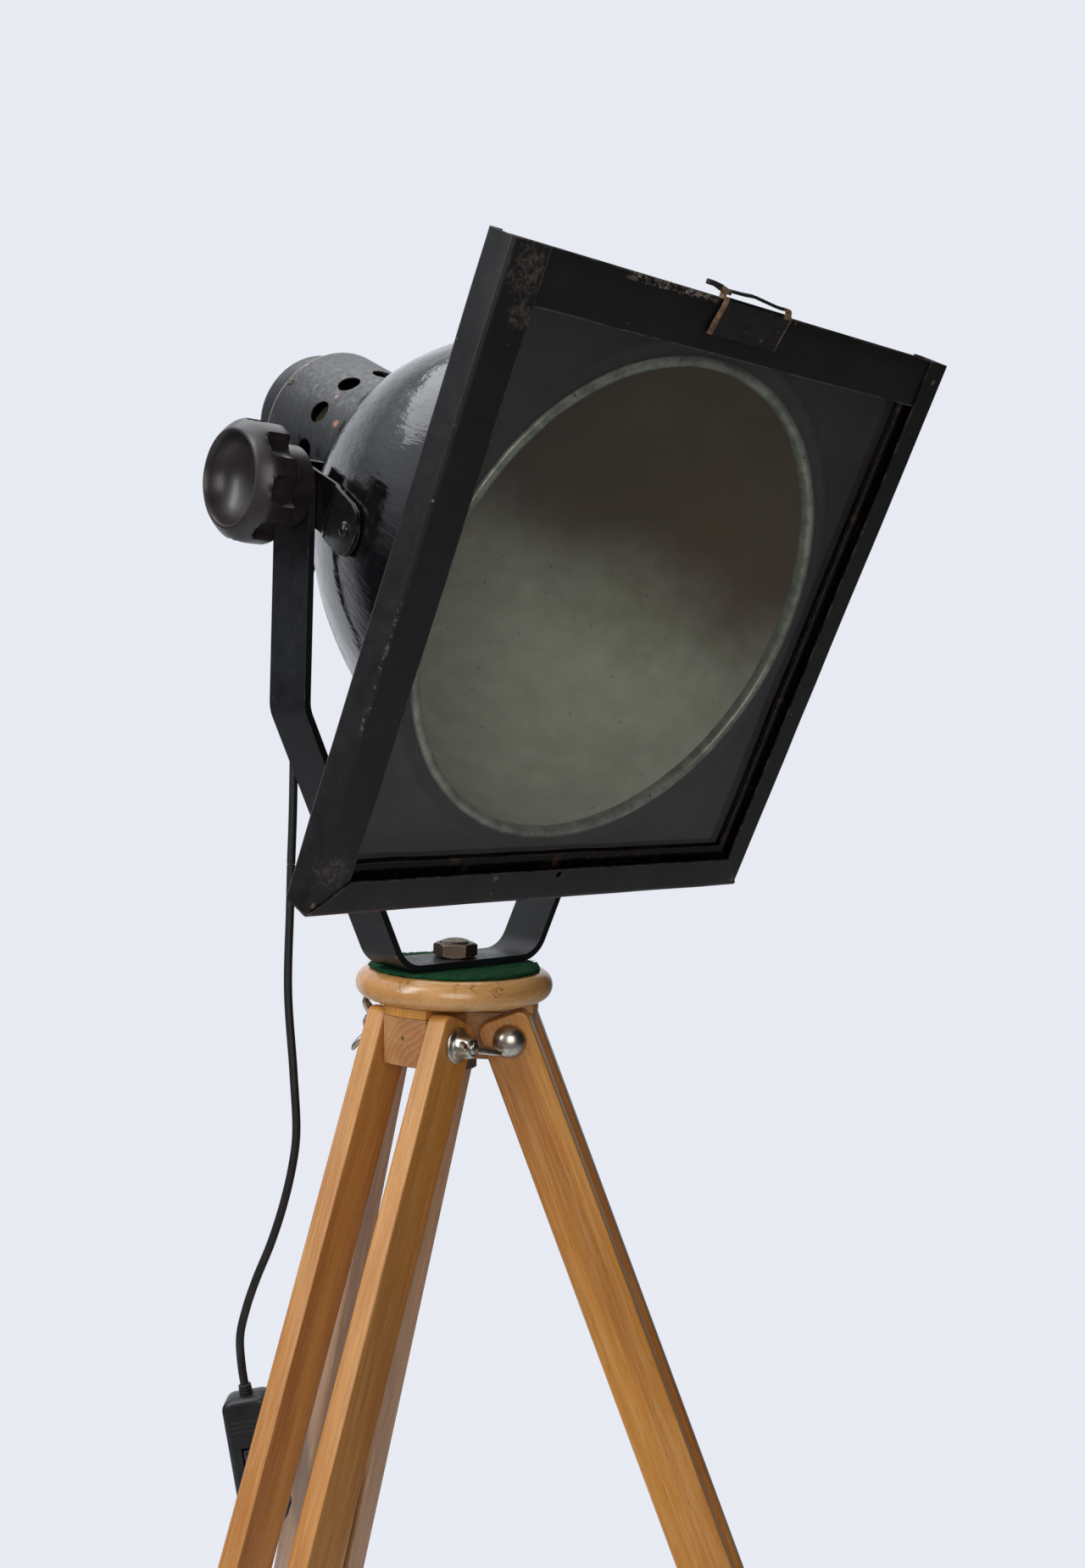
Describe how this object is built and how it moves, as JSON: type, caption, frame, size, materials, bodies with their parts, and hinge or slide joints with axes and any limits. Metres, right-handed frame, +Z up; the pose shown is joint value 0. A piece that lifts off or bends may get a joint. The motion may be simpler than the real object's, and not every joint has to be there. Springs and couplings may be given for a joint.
{
  "type": "studio floodlight on tripod",
  "caption": "Vintage square-fronted black floodlight with glass pane, strap yoke and star knobs, bolted to a wooden tripod, with in-line switch lead.",
  "frame": {"origin": "on the floor, under the middle of the object's box with the lead left out", "axes": "+Z up, the lamp faces -Y and its tilt axis is along X"},
  "size_m": [0.7852, 0.792, 1.5441],
  "materials": {
    "frame_paint": "satin",
    "yoke_paint": "satin",
    "enamel": "gloss",
    "rusty_steel": "matte",
    "dark_steel": "satin",
    "nickel": "gloss",
    "pane_glass": "gloss",
    "bulb_glass": "satin",
    "porcelain": "gloss",
    "bakelite": "satin",
    "beech": "satin",
    "felt": "matte",
    "rubber": "matte"
  },
  "bodies": {
    "tripod_top": {"head_disc": "beech", "head_block": "beech", "felt_pad": "felt", "centre_bolt": "dark_steel", "leg_1_hinge_bolt": "nickel", "leg_2_hinge_bolt": "nickel", "leg_3_hinge_bolt": "nickel", "cord_middle": "rubber", "cord_lower": "rubber", "cord_coil": "rubber", "switch_body": "rubber", "mains_plug": "rubber"},
    "yoke": {"yoke": "yoke_paint", "cord_upper": "rubber"},
    "lamp_head": {"frame_left_channel": "frame_paint", "frame_right_channel": "frame_paint", "frame_bottom_channel": "frame_paint", "frame_top_lip": "frame_paint", "face_plate": "frame_paint", "reflector_bowl": "enamel", "neck_tube": "yoke_paint", "rear_cap": "yoke_paint", "lampholder_bracket": "rusty_steel", "lampholder": "porcelain", "bulb": "bulb_glass", "cord_gland": "rubber", "pivot_bracket_left": "yoke_paint", "pivot_bracket_right": "yoke_paint", "pivot_bolt_left": "dark_steel", "pivot_bolt_right": "dark_steel"},
    "pane": {"pane_frame": "rusty_steel", "front_glass": "pane_glass"},
    "clip": {"retaining_clip": "rusty_steel"},
    "knob_left": {"tilt_knob_left": "bakelite"},
    "knob_right": {"tilt_knob_right": "bakelite"},
    "yoke_nut": {"yoke_nut": "dark_steel"},
    "switch_rocker": {"switch_rocker": "rubber"},
    "leg_1": {"leg_1_rail_left": "beech", "leg_1_rail_right": "beech", "leg_1_clamp_band": "dark_steel"},
    "lower_leg_1": {"leg_1_slider": "beech", "leg_1_shoe": "dark_steel"},
    "wing_nut_1": {"leg_1_wing_nut": "nickel"},
    "clamp_screw_1": {"leg_1_clamp_screw": "nickel"},
    "leg_2": {"leg_2_rail_left": "beech", "leg_2_rail_right": "beech", "leg_2_clamp_band": "dark_steel"},
    "lower_leg_2": {"leg_2_slider": "beech", "leg_2_shoe": "dark_steel"},
    "wing_nut_2": {"leg_2_wing_nut": "nickel"},
    "clamp_screw_2": {"leg_2_clamp_screw": "nickel"},
    "leg_3": {"leg_3_rail_left": "beech", "leg_3_rail_right": "beech", "leg_3_clamp_band": "dark_steel", "strap_disc": "nickel"},
    "lower_leg_3": {"leg_3_slider": "beech", "leg_3_shoe": "dark_steel"},
    "wing_nut_3": {"leg_3_wing_nut": "nickel"},
    "clamp_screw_3": {"leg_3_clamp_screw": "nickel"}
  },
  "joints": [
    {"name": "pan", "type": "hinge", "parent": "tripod_top", "child": "yoke", "pos_m": [0.05937, -0.0519, 1.08], "axis": [0, 0, 1], "range_deg": [-90, 90], "deforming": ["cord_middle"]},
    {"name": "tilt", "type": "hinge", "parent": "yoke", "child": "lamp_head", "pos_m": [0.05937, -0.0519, 1.408], "axis": [1, 0, 0], "range_deg": [-85, 10], "deforming": ["cord_upper"]},
    {"name": "pane_lift", "type": "slide", "parent": "lamp_head", "child": "pane", "axis": [0, -0.4226, 0.9063], "range_m": [0, 0.39]},
    {"name": "clip_pull", "type": "slide", "parent": "lamp_head", "child": "clip", "axis": [0, -0.4226, 0.9063], "range_m": [0, 0.03]},
    {"name": "knob_left_turn", "type": "hinge", "parent": "lamp_head", "child": "knob_left", "pos_m": [-0.11663, -0.0519, 1.408], "axis": [-1, 0, 0], "continuous": true},
    {"name": "knob_right_turn", "type": "hinge", "parent": "lamp_head", "child": "knob_right", "pos_m": [0.23537, -0.0519, 1.408], "axis": [1, 0, 0], "continuous": true},
    {"name": "yoke_nut_turn", "type": "hinge", "parent": "tripod_top", "child": "yoke_nut", "pos_m": [0.05937, -0.0519, 1.09], "axis": [0, 0, 1], "continuous": true},
    {"name": "switch_rock", "type": "hinge", "parent": "tripod_top", "child": "switch_rocker", "pos_m": [0.0354, 0.15701, 0.64002], "axis": [-0.7165, 0.6704, -0.1931], "range_deg": [0, 12]},
    {"name": "leg_1_fold", "type": "hinge", "parent": "tripod_top", "child": "leg_1", "pos_m": [0.01668, -0.06255, 1.031], "axis": [0.2419, -0.9703, 0], "range_deg": [0, 21]},
    {"name": "leg_1_extend", "type": "slide", "parent": "leg_1", "child": "lower_leg_1", "axis": [-0.3635, -0.0906, -0.9272], "range_m": [0, 0.15]},
    {"name": "wing_nut_1_turn", "type": "hinge", "parent": "tripod_top", "child": "wing_nut_1", "pos_m": [0.02756, -0.10621, 1.031], "axis": [0.2419, -0.9703, 0], "continuous": true},
    {"name": "clamp_screw_1_turn", "type": "hinge", "parent": "leg_1", "child": "clamp_screw_1", "pos_m": [-0.25857, -0.13117, 0.40897], "axis": [-0.8996, -0.2243, 0.3746], "continuous": true},
    {"name": "leg_2_fold", "type": "hinge", "parent": "tripod_top", "child": "leg_2", "pos_m": [0.08993, -0.08355, 1.031], "axis": [0.7193, 0.6947, 0], "range_deg": [0, 21]},
    {"name": "leg_2_extend", "type": "slide", "parent": "leg_2", "child": "lower_leg_2", "axis": [0.2602, -0.2695, -0.9272], "range_m": [0, 0.15]},
    {"name": "wing_nut_2_turn", "type": "hinge", "parent": "tripod_top", "child": "wing_nut_2", "pos_m": [0.1223, -0.05229, 1.031], "axis": [0.7193, 0.6947, 0], "continuous": true},
    {"name": "clamp_screw_2_turn", "type": "hinge", "parent": "leg_2", "child": "clamp_screw_2", "pos_m": [0.28699, -0.28761, 0.40897], "axis": [0.6441, -0.667, 0.3746], "continuous": true},
    {"name": "leg_3_fold", "type": "hinge", "parent": "tripod_top", "child": "leg_3", "pos_m": [0.0715, -0.00961, 1.031], "axis": [-0.9613, 0.2756, 0], "range_deg": [0, 21]},
    {"name": "leg_3_extend", "type": "slide", "parent": "leg_3", "child": "lower_leg_3", "axis": [0.1033, 0.3601, -0.9272], "range_m": [0, 0.15]},
    {"name": "wing_nut_3_turn", "type": "hinge", "parent": "tripod_top", "child": "wing_nut_3", "pos_m": [0.02824, 0.0028, 1.031], "axis": [-0.9613, 0.2756, 0], "continuous": true},
    {"name": "clamp_screw_3_turn", "type": "hinge", "parent": "leg_3", "child": "clamp_screw_3", "pos_m": [0.14969, 0.26308, 0.40897], "axis": [0.2556, 0.8913, 0.3746], "continuous": true}
  ]
}
